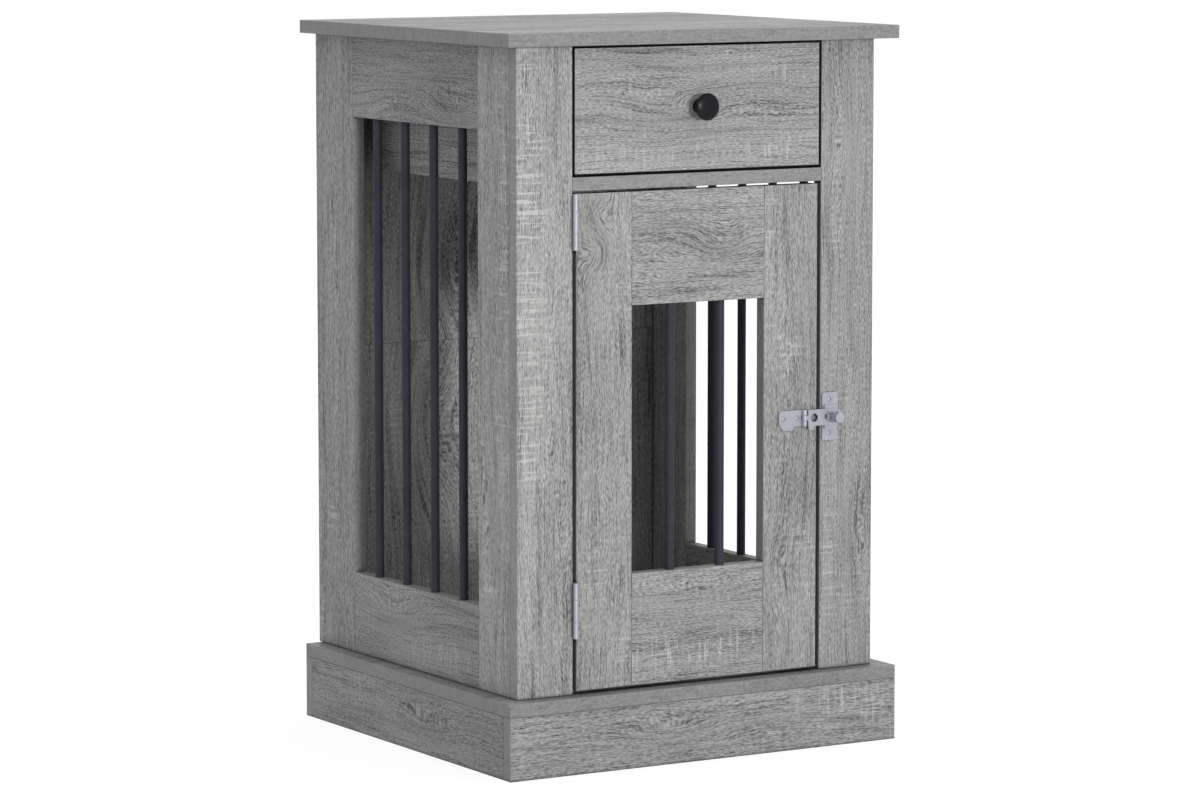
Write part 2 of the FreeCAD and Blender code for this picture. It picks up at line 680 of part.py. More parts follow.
def make_turn_knob():
    """A shaft riveted into the staple plate, a locking tongue and a round finger knob."""
    body = new_body("turn_knob", "StapleCentre", FRONT, "LatchHeight")
    rivet = "(StapleBossRise - LatchMetal - RivetGap)"
    knob = "(TurnProjection - TurnKnobLength)"
    outline = [
        ("0", f"RivetHead - {rivet}"),
        ("TurnRivet", f"RivetHead - {rivet}"),
        ("TurnRivet", f"-{rivet}"),
        ("TurnShaft", f"-{rivet}"),
        ("TurnShaft", f"-{knob}"),
        ("TurnKnob", f"-{knob}"),
        ("TurnKnob", "-TurnProjection"),
        ("0", "-TurnProjection"),
    ]
    turn(body, outline)
    tongue = new_sketch(body, "XZ_Plane", "HaspPinProud + HaspKnuckle + TongueGap")
    draw_rectangle(
        tongue, "-TongueHalfLength", "-TongueHalfHeight", "TongueHalfLength", "TongueHalfHeight"
    )
    pad(body, tongue, "TongueDepth")


def make_latch():
    make_hasp_leaf()
    make_hasp_strap()
    foot = "LatchHeight - HaspHalfHeight"
    make_pin("hasp_pin", "HaspPivot", HASP_Y, foot, "2 * HaspHalfHeight", "HingePin")
    make_staple_plate()
    make_turn_knob()


# ---------------------------------------------------------------- drawer


def make_drawer_box():
    front = board(
        "drawer_front",
        (f"2 * ({OPENING_HALF} - DrawerGap)", "Board", "DrawerOpening - 2 * DrawerGap"),
        (f"-{OPENING_HALF} + DrawerGap", FRONT, f"{SHELF_TOP} + DrawerGap"),
    )
    groove_low = f"{PANEL_FOOT} - GrooveSlack"
    groove = new_sketch(front, "XZ_Plane", "-Board")
    middle = f"{OPENING_HALF} - DrawerGap"
    groove_half = f"({BOX_HALF} - Board + GrooveDepth + GrooveSlack)"
    in_front = f"{groove_low} - {SHELF_TOP} - DrawerGap"
    draw_rectangle(
        groove,
        f"{middle} - {groove_half}",
        in_front,
        f"{middle} + {groove_half}",
        f"{in_front} + {GROOVE_HEIGHT}",
    )
    cut(front, groove, "GrooveDepth", backwards=True)
    for side, sign in SIDES.items():
        left = f"-{BOX_HALF}" if sign < 0 else f"{BOX_HALF} - Board"
        wall = board(
            f"drawer_{side}_side",
            ("Board", "BoxLength", "BoxHeight"),
            (left, FRAME_REAR, BOX_FOOT),
            broken=False,
        )
        inner = "Board" if sign < 0 else "0"
        slot = new_sketch(wall, "YZ_Plane", inner)
        draw_rectangle(
            slot,
            "0",
            "BottomRise - GrooveSlack",
            "BoxLength",
            f"BottomRise - GrooveSlack + {GROOVE_HEIGHT}",
        )
        cut(wall, slot, "GrooveDepth", backwards=sign > 0)
    inside = f"({BOX_HALF} - Board)"
    back = board(
        "drawer_back",
        (f"2 * {inside}", "Board", "BoxHeight"),
        (f"-{inside}", f"{BOX_REAR} - Board", BOX_FOOT),
        broken=False,
    )
    slot = new_sketch(back, "XZ_Plane", "0")
    draw_rectangle(
        slot,
        "0",
        "BottomRise - GrooveSlack",
        f"2 * {inside}",
        f"BottomRise - GrooveSlack + {GROOVE_HEIGHT}",
    )
    cut(back, slot, "GrooveDepth")
    panel = new_body(
        "drawer_bottom",
        f"-{inside} - GrooveDepth + GrooveSlack",
        f"{FRAME_REAR} - GrooveDepth + GrooveSlack",
        PANEL_FOOT,
    )
    sketch = new_sketch(panel, "XY_Plane")
    draw_rectangle(
        sketch,
        "0",
        "0",
        f"2 * ({inside} + GrooveDepth - GrooveSlack)",
        "BoxLength - Board + 2 * (GrooveDepth - GrooveSlack)",
    )
    pad(panel, sketch, "BottomPanel")


def make_drawer_knob():
    """A turned knob: a round head on a narrower neck."""
    body = new_body("drawer_knob", "0", FRONT, KNOB_HEIGHT)
    outline = [
        ("0", "0"),
        ("KnobNeck", "0"),
        ("KnobNeck", "KnobHeadDepth - KnobProjection"),
        ("KnobHead", "KnobHeadDepth - KnobProjection"),
        ("KnobHead", "-KnobProjection"),
        ("0", "-KnobProjection"),
    ]
    turn(body, outline)


# ---------------------------------------------------------------- drawer runners


def draw_section(sketch, sign, corners):
    """A folded section, given for the right side and mirrored for the left."""
    draw_polygon(sketch, [(f"{sign} * ({x})", z) for x, z in corners])


def make_cabinet_runner(side, sign):
    """A channel on the bearer board, cut open at the front for its own wheel."""
    body = new_body(
        f"{side}_cabinet_runner", f"{sign} * {OPENING_HALF}", FRAME_REAR, CHANNEL_FOOT
    )
    reach = "(RunnerSpace - FlangeGap)"
    lip = f"(-{reach} + RunnerMetal)"
    section = new_sketch(body, "XZ_Plane", "-RunnerSetback")
    draw_section(
        section,
        sign,
        [
            ("0", "0"),
            (f"-{reach}", "0"),
            (f"-{reach}", "RunnerMetal"),
            ("-RunnerMetal", "RunnerMetal"),
            ("-RunnerMetal", "ChannelHeight - RunnerMetal"),
            (lip, "ChannelHeight - RunnerMetal"),
            (lip, "ChannelHeight"),
            ("0", "ChannelHeight"),
        ],
    )
    pad(body, section, "RunnerLength - RunnerSetback", backwards=True)
    opening = new_sketch(body, "XY_Plane", "ChannelHeight - RunnerMetal")
    draw_section(
        opening,
        sign,
        [
            ("-RunnerMetal", "0"),
            ("-RunnerSpace", "0"),
            ("-RunnerSpace", "2 * FrontRollerInset"),
            ("-RunnerMetal", "2 * FrontRollerInset"),
        ],
    )
    cut(body, opening, "RunnerMetal", backwards=True)
    add_axle(body, -sign, "RunnerMetal", "FrontRollerInset", FRONT_ROLLER_RISE)


def make_drawer_runner(side, sign):
    """An angle under the drawer side, with a flange that rolls on the cabinet's wheel."""
    body = new_body(f"{side}_drawer_runner", f"{sign} * {BOX_HALF}", FRAME_REAR, CHANNEL_FOOT)
    foot = "(BoxRise - ChannelRise)"
    foot_reach = "FootReach - Board"
    flange_reach = "RunnerSpace - FlangeGap"
    section = new_sketch(body, "XZ_Plane")
    draw_section(
        section,
        sign,
        [
            (foot_reach, f"{foot} - RunnerMetal"),
            ("RunnerMetal", f"{foot} - RunnerMetal"),
            ("RunnerMetal", FLANGE_RISE),
            (flange_reach, FLANGE_RISE),
            (flange_reach, f"{FLANGE_RISE} + RunnerMetal"),
            ("0", f"{FLANGE_RISE} + RunnerMetal"),
            ("0", foot),
            (foot_reach, foot),
        ],
    )
    pad(body, section, "RunnerLength", backwards=True)
    add_axle(body, sign, "RunnerMetal", "RunnerLength - FrontRollerInset", REAR_ROLLER_RISE)


def add_axle(body, direction, web, y, rise):
    """A stub axle that stands out of a runner's web."""
    sketch = new_sketch(body, "YZ_Plane", f"{direction} * {web}")
    draw_circle(sketch, y, rise, "AxleRadius")
    pad(body, sketch, "AxleLength", backwards=direction < 0)


def make_rollers(name, y, rise):
    """A pair of wheels, one on each side, that turn on the same line."""
    body = new_body(name, "0", y, f"{CHANNEL_FOOT} + {rise}")
    for sign in SIDES.values():
        sketch = new_sketch(body, "YZ_Plane", f"{sign} * ({BOX_HALF} + RunnerMetal + RollerInset)")
        draw_circle(sketch, "0", "0", "RollerRadius")
        draw_circle(sketch, "0", "0", "AxleRadius + PinSlack")
        pad(body, sketch, "RollerWidth", backwards=sign < 0)


def make_runners():
    for side, sign in SIDES.items():
        make_cabinet_runner(side, sign)
        make_drawer_runner(side, sign)
    make_rollers("front_rollers", FRONT_ROLLER_Y, FRONT_ROLLER_RISE)
    make_rollers("rear_rollers", REAR_ROLLER_Y, REAR_ROLLER_RISE)


# ---------------------------------------------------------------- checks and files


def check_document():
    """Stop if any feature failed, or a piece has no valid shape."""
    doc.recompute()
    for item in doc.Objects:
        if "Invalid" in item.State or "Error" in item.State:
            raise ValueError(f"{item.Name} failed: {item.State}")
    for piece in pieces:
        if piece.Shape.isNull() or not piece.Shape.isValid():
            raise ValueError(f"{piece.Label} has no valid shape")


def write_pieces():
    os.makedirs("parts", exist_ok=True)
    for piece in pieces:
        piece.Shape.exportStep(os.path.join("parts", f"{piece.Label}.step"))


fill_sheet()
make_top_and_plinth()
make_corner_blocks()
make_front_posts()
for side_name, side_sign in SIDES.items():
    make_side_panel(side_name, side_sign)
make_back_panel()
make_drawer_compartment()
make_door()
make_hinges()
make_latch()
make_drawer_box()
make_drawer_knob()
make_runners()
check_document()
write_pieces()
print(len(pieces), "pieces")
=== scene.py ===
import math

import bmesh
import bpy
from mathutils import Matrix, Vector


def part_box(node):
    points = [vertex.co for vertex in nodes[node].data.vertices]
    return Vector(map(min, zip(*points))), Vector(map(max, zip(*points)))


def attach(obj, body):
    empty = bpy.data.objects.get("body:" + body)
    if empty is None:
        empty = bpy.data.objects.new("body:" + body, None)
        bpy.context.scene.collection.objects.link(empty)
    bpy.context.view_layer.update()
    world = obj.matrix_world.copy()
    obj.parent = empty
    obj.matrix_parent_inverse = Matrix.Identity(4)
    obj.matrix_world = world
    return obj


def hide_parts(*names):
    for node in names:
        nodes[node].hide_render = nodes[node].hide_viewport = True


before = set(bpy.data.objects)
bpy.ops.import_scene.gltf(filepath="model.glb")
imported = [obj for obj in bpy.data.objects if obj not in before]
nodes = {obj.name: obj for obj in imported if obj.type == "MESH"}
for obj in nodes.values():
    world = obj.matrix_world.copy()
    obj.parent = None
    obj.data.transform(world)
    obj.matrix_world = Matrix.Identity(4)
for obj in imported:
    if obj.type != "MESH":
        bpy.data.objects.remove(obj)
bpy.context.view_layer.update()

# A dog crate end table in grey oak foil with charcoal bars, zinc fittings and a black knob.
# Metres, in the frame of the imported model: X to the right, Y to the back, Z up.

MM = 0.001
AXES = {"x": 0, "y": 1, "z": 2}


# ---------------------------------------------------------------- node helpers


class Tree:
    """Short calls that add shader nodes and link them."""

    def __init__(self, tree):
        self.tree = tree

    def feed(self, socket, value):
        if isinstance(value, bpy.types.NodeSocket):
            self.tree.links.new(value, socket)
        else:
            socket.default_value = value

    def add(self, kind, inputs=(), **settings):
        node = self.tree.nodes.new(kind)
        for name, value in settings.items():
            setattr(node, name, value)
        for name, value in dict(inputs).items():
            self.feed(node.inputs[name], value)
        return node

    def math(self, operation, first, second=0.0):
        node = self.add("ShaderNodeMath", operation=operation)
        self.feed(node.inputs[0], first)
        self.feed(node.inputs[1], second)
        return node.outputs[0]

    def times(self, first, second):
        return self.math("MULTIPLY", first, second)

    def plus(self, *values):
        total = values[0]
        for value in values[1:]:
            total = self.math("ADD", total, value)
        return total

    def less(self, first, second):
        return self.math("SUBTRACT", first, second)

    def split(self, vector):
        return self.add("ShaderNodeSeparateXYZ", {"Vector": vector}).outputs

    def join(self, x, y, z):
        return self.add("ShaderNodeCombineXYZ", {"X": x, "Y": y, "Z": z}).outputs[0]

    def stretched(self, vector, scales, shift=(0.0, 0.0, 0.0)):
        """The vector times three scales, moved by a shift."""
        node = self.add("ShaderNodeVectorMath", operation="MULTIPLY_ADD")
        self.feed(node.inputs[0], vector)
        self.feed(node.inputs[1], scales)
        self.feed(node.inputs[2], shift)
        return node.outputs[0]

    def noise(self, vector, detail=2.0, roughness=0.5):
        inputs = {"Vector": vector, "Scale": 1.0, "Detail": detail, "Roughness": roughness}
        return self.add("ShaderNodeTexNoise", inputs).outputs[0]

    def step(self, value, low, high, start=0.0, end=1.0):
        """A smooth step from start to end while the value goes from low to high."""
        inputs = {"Value": value, "From Min": low, "From Max": high, "To Min": start, "To Max": end}
        node = self.add("ShaderNodeMapRange", inputs, interpolation_type="SMOOTHSTEP")
        return node.outputs[0]

    def mix(self, factor, first, second):
        """A mix of two colours."""
        node = self.add("ShaderNodeMix", data_type="RGBA")
        self.feed(node.inputs["Factor"], factor)
        self.feed(node.inputs["A"], first)
        self.feed(node.inputs["B"], second)
        return node.outputs["Result"]

    def bump(self, height, strength, distance):
        inputs = {"Height": height, "Strength": strength, "Distance": distance}
        return self.add("ShaderNodeBump", inputs).outputs[0]

    def openness(self, reach):
        """1 on an open face, near 0 where another surface stands within reach."""
        node = self.add("ShaderNodeAmbientOcclusion", {"Distance": reach}, samples=8)
        return node.outputs["AO"]


def grey(level, tint=(1.0, 1.0, 1.0)):
    """A colour of one level, tinted a little if wanted."""
    return tuple(level * part for part in tint) + (1.0,)


def new_material(name):
    """A material with an empty tree, its helper, and its Principled shader."""
    material = bpy.data.materials.new(name)
    material.use_nodes = True
    material.node_tree.nodes.clear()
    tree = Tree(material.node_tree)
    shader = tree.add("ShaderNodeBsdfPrincipled")
    output = tree.add("ShaderNodeOutputMaterial")
    tree.feed(output.inputs["Surface"], shader.outputs[0])
    return material, tree, shader


# ---------------------------------------------------------------- oak foil

KNOTS = 2
PATCHES = 2
# Growth bands stand out most round a knot, up to where it lifts the grain this far.
RINGS = 110.0
RINGS_REACH = 14 * MM

# Noise scales along, across and through a board, in cells per metre.
SWAY = (7, 26, 9)
RIPPLE = (48, 130, 40)
FIBRE = (260, 1500, 500)
STRANDS = (14, 1120, 300)
BANDS = (5, 95, 60)
BROAD = (5, 16, 16)
STRAY_MARKS = (8, 17, 8)
SAW_LINES = (360, 27, 30)
CROSS_LINES = (60, 420, 30)

# How far the grain wanders sideways, and how much each noise lightens or darkens the tone.
SWAY_REACH = 18 * MM
RIPPLE_REACH = 3 * MM
TONE_LEVEL = 0.64
FIBRE_TONE = 1.15
STRAND_TONE = 0.65
PORE_TONE = -0.42
BAND_TONE = -0.22
BROAD_TONE = 0.42
KNOT_TONE = -4.0
MARK_TONE = 0.46
EDGE_LEVEL = 0.42
EDGE_TONE = 0.28


def near(tree, along, across, centre, size):
    """1 at a centre, falling smoothly to 0 about a size away; and the strength set there."""
    middle = tree.split(centre)
    reach = tree.split(size)
    du = tree.math("DIVIDE", tree.less(along, middle[0]), reach[0])
    dv = tree.math("DIVIDE", tree.less(across, middle[1]), reach[1])
    far = tree.plus(tree.times(du, du), tree.times(dv, dv))
    return tree.math("POWER", math.e, tree.times(far, -1.0)), reach[2]


def make_oak_group():
    """Grey oak: wavy fibres that flow round knots, growth bands and pale saw marks."""
    group = bpy.data.node_groups.new("oak_foil", "ShaderNodeTree")
    names = ["Place", "Seed"]
    names += [f"{word} {index}" for index in range(KNOTS) for word in ("Knot", "Knot size")]
    names += [f"{word} {index}" for index in range(PATCHES) for word in ("Patch", "Patch size")]
    for name in names:
        group.interface.new_socket(name, in_out="INPUT", socket_type="NodeSocketVector")
    group.interface.new_socket("Face", in_out="INPUT", socket_type="NodeSocketFloat")
    for name in ("Tone", "Relief"):
        group.interface.new_socket(name, in_out="OUTPUT", socket_type="NodeSocketFloat")
    tree = Tree(group)
    given = tree.add("NodeGroupInput").outputs
    place = given["Place"]
    seed = given["Seed"]
    along, across, deep = tree.split(place)

    sway = tree.noise(tree.stretched(place, SWAY, seed), detail=2)
    ripple = tree.noise(tree.stretched(place, RIPPLE, seed), detail=1)
    grain = tree.plus(
        across,
        tree.times(tree.less(sway, 0.5), SWAY_REACH),
        tree.times(tree.less(ripple, 0.5), RIPPLE_REACH),
    )
    knotty = 0.0
    for index in range(KNOTS):
        bulge, strength = near(tree, along, across, given[f"Knot {index}"], given[f"Knot size {index}"])
        lift = tree.times(bulge, strength)
        grain = tree.plus(grain, lift)
        knotty = tree.plus(knotty, tree.math("ABSOLUTE", lift))

    flow = tree.join(along, grain, deep)
    fibre = tree.noise(tree.stretched(flow, FIBRE, seed), detail=0)
    strands = tree.noise(tree.stretched(flow, STRANDS, seed), detail=2, roughness=0.45)
    bands = tree.noise(tree.stretched(flow, BANDS, seed), detail=3, roughness=0.6)
    broad = tree.noise(tree.stretched(place, BROAD, seed), detail=1)

    stray = tree.noise(tree.stretched(place, STRAY_MARKS, seed), detail=1)
    mask = tree.step(stray, 0.6, 0.7, 0, 0.5)
    for index in range(PATCHES):
        spot, strength = near(tree, along, across, given[f"Patch {index}"], given[f"Patch size {index}"])
        mask = tree.math("MAXIMUM", mask, tree.times(spot, strength))
    sawn = tree.noise(tree.stretched(place, SAW_LINES, seed), detail=2, roughness=0.5)
    cross = tree.noise(tree.stretched(place, CROSS_LINES, seed), detail=1)
    marks = tree.plus(tree.step(sawn, 0.52, 0.68), tree.step(cross, 0.58, 0.7, 0, 0.5))

    rings = tree.times(tree.math("MINIMUM", knotty, RINGS_REACH), RINGS)
    tone = tree.plus(
        TONE_LEVEL,
        tree.times(tree.less(fibre, 0.5), FIBRE_TONE),
        tree.times(tree.less(strands, 0.5), STRAND_TONE),
        tree.times(tree.step(strands, 0.5, 0.62), PORE_TONE),
        tree.times(tree.step(bands, 0.5, 0.7), BAND_TONE),
        tree.times(tree.less(broad, 0.5), BROAD_TONE),
        tree.times(knotty, KNOT_TONE),
        tree.times(rings, tree.less(bands, 0.5)),
        tree.times(tree.times(mask, marks), MARK_TONE),
    )
    plain = tree.plus(EDGE_LEVEL, tree.times(tree.less(tone, 0.5), EDGE_TONE))
    blend = tree.add("ShaderNodeMix", data_type="FLOAT")
    tree.feed(blend.inputs["Factor"], given["Face"])
    tree.feed(blend.inputs["A"], plain)
    tree.feed(blend.inputs["B"], tone)
    result = tree.add("NodeGroupOutput")
    tree.feed(result.inputs["Tone"], blend.outputs["Result"])
    tree.feed(result.inputs["Relief"], tree.plus(fibre, strands))
    return group


oak_group = make_oak_group()

# Colours of the foil's dark and light tones and of the painted shade in its joints and gaps, and how far
# that painted shade and the painted shade of a corner reach.
OAK_DARK = grey(0.100, (1.0, 1.0, 1.02))
OAK_LIGHT = grey(0.640, (1.0, 1.0, 0.985))
OAK_PAINTED_SHADE = grey(0.012)
JOINT_SHADE_REACH = 5 * MM
CORNER_REACH = 70 * MM
FOIL_BUMP = 0.35
FOIL_RELIEF = 0.25 * MM

# What a board without a second knot or patch gives for it: one of no strength.
UNUSED = (0, 0, 9, 9, 0)


def oak(name, grain_axis, knots, patches, brightness, contrast, corner_shade):
    """Oak foil for one board; knots and patches lie at mm along and across from its middle."""
    low, high = (Vector(corner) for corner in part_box(name))
    size = high - low
    depth_axis = min(AXES, key=lambda axis: size[AXES[axis]])
    across_axis = next(axis for axis in AXES if axis not in (grain_axis, depth_axis))
    order = [AXES[axis] for axis in (grain_axis, across_axis, depth_axis)]
    middle = (low + high) / 2
    material, tree, shader = new_material(f"oak_{name}")
    where = tree.add("ShaderNodeTexCoord").outputs
    local = tree.add("ShaderNodeVectorMath", operation="SUBTRACT")
    tree.feed(local.inputs[0], where["Object"])
    tree.feed(local.inputs[1], middle)
    parts = tree.split(local.outputs[0])
    place = tree.join(*(parts[index] for index in order))
    facing = tree.math("ABSOLUTE", tree.split(where["Normal"])[AXES[depth_axis]])
    group = tree.add("ShaderNodeGroup", node_tree=oak_group)
    number = sorted(nodes).index(name)
    seed = (3.7 * number, 5.3 * number, 1.9 * number)
    tree.feed(group.inputs["Place"], place)
    tree.feed(group.inputs["Seed"], seed)
    tree.feed(group.inputs["Face"], tree.step(facing, 0.8, 0.95))
    for word, count, wanted, unit in (("Knot", KNOTS, knots, MM), ("Patch", PATCHES, patches, 1.0)):
        for index in range(count):
            u, v, reach_u, reach_v, strength = wanted[index] if index < len(wanted) else UNUSED
            size = (reach_u * MM, reach_v * MM, strength * unit)
            tree.feed(group.inputs[f"{word} {index}"], (u * MM, v * MM, 0))
            tree.feed(group.inputs[f"{word} size {index}"], size)
    tone = group.outputs["Tone"]
    dark = tuple(brightness * part / contrast for part in OAK_DARK[:3]) + (1.0,)
    light = tuple(brightness * part * contrast for part in OAK_LIGHT[:3]) + (1.0,)
    # Painted shade: near black is mixed into the foil in joints and gaps, and in the corners of boards
    # whose corner_shade is below 1.
    painted_shade_mask = tree.step(tree.openness(JOINT_SHADE_REACH), 0.3, 0.88)
    if corner_shade < 1:
        shade = tree.step(tree.openness(CORNER_REACH), 0.3, 0.9, corner_shade, 1.0)
        painted_shade_mask = tree.times(painted_shade_mask, shade)
    foil = tree.mix(tone, dark, light)
    tree.feed(shader.inputs["Base Color"], tree.mix(painted_shade_mask, OAK_PAINTED_SHADE, foil))
    tree.feed(shader.inputs["Roughness"], tree.step(tone, 0.2, 0.8, 0.54, 0.42))
    shader.inputs["Specular IOR Level"].default_value = 0.35
    relief = tree.bump(group.outputs["Relief"], FOIL_BUMP, FOIL_RELIEF)
    tree.feed(shader.inputs["Normal"], relief)
    return material


# Board: grain axis, knots and saw-mark patches (mm along and across from the board's middle,
# reach along and across, strength).
BOARDS = {
    "top_board": ("x", [(-60, 60, 90, 30, 12)], [(90, -120, 90, 40, 0.7)]),
    "base_board": ("x", [], [(120, -190, 60, 30, 0.6)]),
    "front_skirt": ("x", [(-38, 2, 48, 13, 10), (60, -4, 60, 9, -6)], [(150, 15, 55, 14, 1.0)]),
    "rear_skirt": ("x", [(80, 0, 50, 12, 14)], [(-110, 5, 60, 14, 0.8)]),
    "left_skirt": ("y", [(-30, 0, 60, 12, 12)], [(90, 5, 50, 15, 0.9)]),
    "right_skirt": ("y", [(60, 0, 60, 12, 12)], [(-90, 5, 50, 15, 0.9)]),
    "left_front_post": (
        "z",
        [(-150, 8, 90, 12, 5)],
        [(150, -19, 160, 17, 1.3), (-60, -20, 60, 12, 1.1)],
    ),
    "right_front_post": (
        "z",
        [(190, -4, 90, 10, -9), (-150, 8, 60, 12, 10)],
        [(-190, -22, 90, 12, 0.9)],
    ),
    "left_front_stile": (
        "z",
        [(-120, 6, 70, 12, 10)],
        [(120, -18, 170, 12, 0.9), (-210, 10, 40, 14, 0.8)],
    ),
    "right_front_stile": ("z", [(100, 6, 70, 12, 10)], [(-120, -18, 120, 12, 0.9)]),
    "left_rear_stile": ("z", [(60, -10, 120, 10, 8)], [(-180, 6, 50, 16, 0.8)]),
    "right_rear_stile": ("z", [(-60, -10, 120, 10, 8)], [(180, 6, 50, 16, 0.8)]),
    "left_top_rail": ("y", [(-70, -22, 52, 16, 11), (40, -14, 60, 12, -7)], [(60, -30, 60, 8, 0.6)]),
    "right_top_rail": ("y", [(70, -22, 52, 16, 11)], [(-60, 20, 60, 14, 0.6)]),
    "left_bottom_rail": ("y", [(40, 12, 60, 14, 12)], [(-60, -20, 60, 16, 0.8)]),
    "right_bottom_rail": ("y", [(-40, 12, 60, 14, 12)], [(60, -20, 60, 16, 0.8)]),
    "lower_back_board": ("z", [(60, -80, 90, 40, 30), (-60, 60, 80, 36, 26)], [(-30, 0, 90, 30, 0.9)]),
    "upper_back_board": ("z", [(-70, -60, 90, 44, 32), (60, 60, 80, 36, 26)], [(-30, 90, 90, 30, 0.9)]),
    "drawer_shelf": ("x", [], []),
    "left_bearer_board": ("y", [(0, 20, 60, 20, 16)], [(90, -20, 60, 20, 0.6)]),
    "right_bearer_board": ("y", [(0, -10, 60, 20, 16)], [(-60, 20, 60, 20, 0.9)]),
    "door_hinge_stile": (
        "z",
        [(205, -8, 16, 15, 14), (172, -8, 16, 15, -14)],
        [(-115, -6, 30, 10, 0.9)],
    ),
    "door_latch_stile": ("z", [(-130, -20, 40, 12, 12), (60, 8, 90, 14, -9)], [(190, -22, 50, 10, 0.9)]),
    "door_top_rail": ("x", [(26, 2, 30, 17, 12), (-50, 12, 50, 12, -7)], []),
    "door_bottom_rail": ("x", [(-10, 30, 60, 10, 6)], [(-20, -26, 62, 16, 1.3), (30, -20, 40, 12, 1.2)]),
    "drawer_front": (
        "x",
        [(-34, 1, 42, 19, 14), (45, 12, 60, 14, -8)],
        [(78, -44, 34, 10, 1.1), (90, 30, 34, 16, 0.7)],
    ),
    "drawer_left_side": ("y", [(30, 0, 70, 14, 12)], []),
    "drawer_right_side": ("y", [(-30, 0, 70, 14, 12)], []),
    "drawer_back": ("x", [(20, 0, 60, 14, 12)], []),
}

# Boards that differ from the rest: brightness, contrast, and the share of brightness left in
# the corners that they stand in, as painted corner shade. The side skirts and rails are darkened
# as painted shade, the back boards are lightened with more contrast and the bearers lightened
# as painted light inside the cage; the other brightnesses are the boards' own tones.
TONES_AND_PAINTED_LIGHT = {
    "top_board": (0.92, 1.0, 1.0),
    "base_board": (0.93, 1.0, 0.4),
    "front_skirt": (0.94, 1.0, 1.0),
    "left_skirt": (0.78, 1.0, 1.0),
    "right_skirt": (0.78, 1.0, 1.0),
    "left_front_post": (1.06, 1.0, 1.0),
    "right_front_post": (0.96, 1.0, 1.0),
    "left_front_stile": (1.05, 1.0, 1.0),
    "right_front_stile": (1.05, 1.0, 1.0),
    "left_rear_stile": (0.92, 1.0, 1.0),
    "right_rear_stile": (0.92, 1.0, 1.0),
    "left_top_rail": (0.80, 1.0, 1.0),
    "right_top_rail": (0.80, 1.0, 1.0),
    "left_bottom_rail": (0.82, 1.0, 1.0),
    "right_bottom_rail": (0.82, 1.0, 1.0),
    "door_latch_stile": (0.94, 1.0, 1.0),
    "lower_back_board": (1.2, 1.2, 0.4),
    "upper_back_board": (1.2, 1.25, 0.4),
    "left_bearer_board": (1.45, 1.0, 1.0),
    "right_bearer_board": (1.45, 1.0, 1.0),
}
PLAIN_TONE = (1.0, 1.0, 1.0)

for board_name, (grain_axis, knots, patches) in BOARDS.items():
    foil = oak(board_name, grain_axis, knots, patches, *TONES_AND_PAINTED_LIGHT.get(board_name, PLAIN_TONE))
    nodes[board_name].data.materials.clear()
    nodes[board_name].data.materials.append(foil)


# ---------------------------------------------------------------- other materials


def speckled(name, base, roughness, scale, spread, metallic=0.0, relief=0.1, specular=0.5):
    """A coat or metal whose colour, gloss and surface vary a little at a given scale."""
    material, tree, shader = new_material(name)
    where = tree.add("ShaderNodeTexCoord").outputs["Object"]
    fine = tree.noise(tree.stretched(where, (scale, scale, scale)), detail=3, roughness=0.6)
    cloud = tree.noise(tree.stretched(where, (60, 60, 60)), detail=2)
    amount = tree.plus(tree.times(fine, 0.6), tree.times(cloud, 0.4))
    darker = tuple(part * (1 - spread) for part in base) + (1.0,)
    paler = tuple(min(part * (1 + spread), 1.0) for part in base) + (1.0,)
    tree.feed(shader.inputs["Base Color"], tree.mix(tree.step(amount, 0.3, 0.7), darker, paler))
    tree.feed(
        shader.inputs["Roughness"], tree.step(amount, 0.3, 0.7, roughness * 0.85, roughness * 1.15)
    )
    shader.inputs["Metallic"].default_value = metallic
    shader.inputs["Specular IOR Level"].default_value = specular
    tree.feed(shader.inputs["Normal"], tree.bump(fine, relief, 0.05 * MM))
    return material


bar_coat = speckled(
    "charcoal_powder_coat", (0.056, 0.052, 0.075), 0.42, 2200, 0.2, relief=0.3, specular=0.08
)
zinc = speckled(
    "zinc_plate", (0.45, 0.46, 0.53), 0.42, 1500, 0.10, metallic=0.35, relief=0.12, specular=0.3
)
screw_steel = speckled(
    "screw_steel", (0.40, 0.41, 0.47), 0.36, 1500, 0.10, metallic=0.5, relief=0.1, specular=0.3
)
knob_paint = speckled(
    "black_satin_paint", (0.006, 0.006, 0.009), 0.30, 1800, 0.2, relief=0.15, specular=0.16
)
runner_coat = speckled("pale_powder_coat", (0.62, 0.62, 0.61), 0.45, 2000, 0.06, relief=0.25)
nylon = speckled("white_nylon", (0.70, 0.70, 0.68), 0.5, 900, 0.04, relief=0.1)
hardboard = speckled("pale_hardboard", (0.34, 0.33, 0.31), 0.7, 700, 0.12, relief=0.4)
block_wood = speckled("raw_particle_board", (0.42, 0.34, 0.24), 0.8, 500, 0.2, relief=0.6)

FINISHES = {
    "left_side_rods": bar_coat,
    "right_side_rods": bar_coat,
    "door_rods": bar_coat,
    "lower_hinge_frame_leaf": zinc,
    "upper_hinge_frame_leaf": zinc,
    "lower_hinge_door_leaf": zinc,
    "upper_hinge_door_leaf": zinc,
    "lower_hinge_pin": zinc,
    "upper_hinge_pin": zinc,
    "hasp_leaf": zinc,
    "hasp_strap": zinc,
    "hasp_pin": zinc,
    "staple_plate": zinc,
    "turn_knob": zinc,
    "drawer_knob": knob_paint,
    "left_cabinet_runner": runner_coat,
    "right_cabinet_runner": runner_coat,
    "left_drawer_runner": runner_coat,
    "right_drawer_runner": runner_coat,
    "front_rollers": nylon,
    "rear_rollers": nylon,
    "drawer_bottom": hardboard,
    "plinth_corner_blocks": block_wood,
}
ROUND_ANGLE = math.radians(32)

